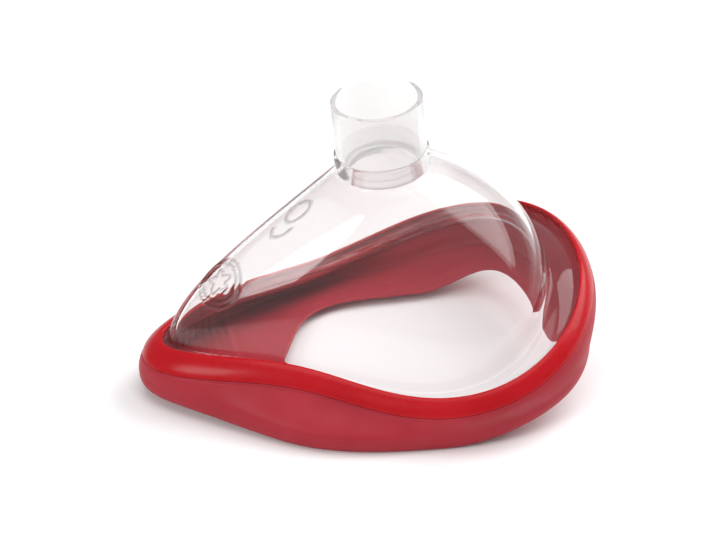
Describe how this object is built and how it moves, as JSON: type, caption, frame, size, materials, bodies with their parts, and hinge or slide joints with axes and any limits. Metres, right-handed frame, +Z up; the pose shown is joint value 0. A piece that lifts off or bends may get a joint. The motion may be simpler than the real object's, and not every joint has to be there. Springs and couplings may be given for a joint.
{
  "type": "resuscitation face mask",
  "caption": "Clear domed face mask with a soft red rolled seal and a round port for a resuscitation bag or breathing circuit.",
  "frame": {"origin": "bottom centre of the bounding box, on the surface that the seal rests on", "axes": "+X from the nose end towards the chin end, +Y across the mask, +Z up through the port, away from the face"},
  "size_m": [0.1318, 0.1004, 0.0876],
  "materials": {
    "clear_shell": "clear moulded, polished",
    "frosted_port": "slightly milky moulded, satin",
    "glossy_band": "glossy red elastomer",
    "soft_seal": "satin red elastomer"
  },
  "bodies": {
    "root": {"dome_shell": "clear_shell", "port_connector": "frosted_port", "cushion_rim": "glossy_band", "cushion_seal": "soft_seal"}
  },
  "joints": []
}
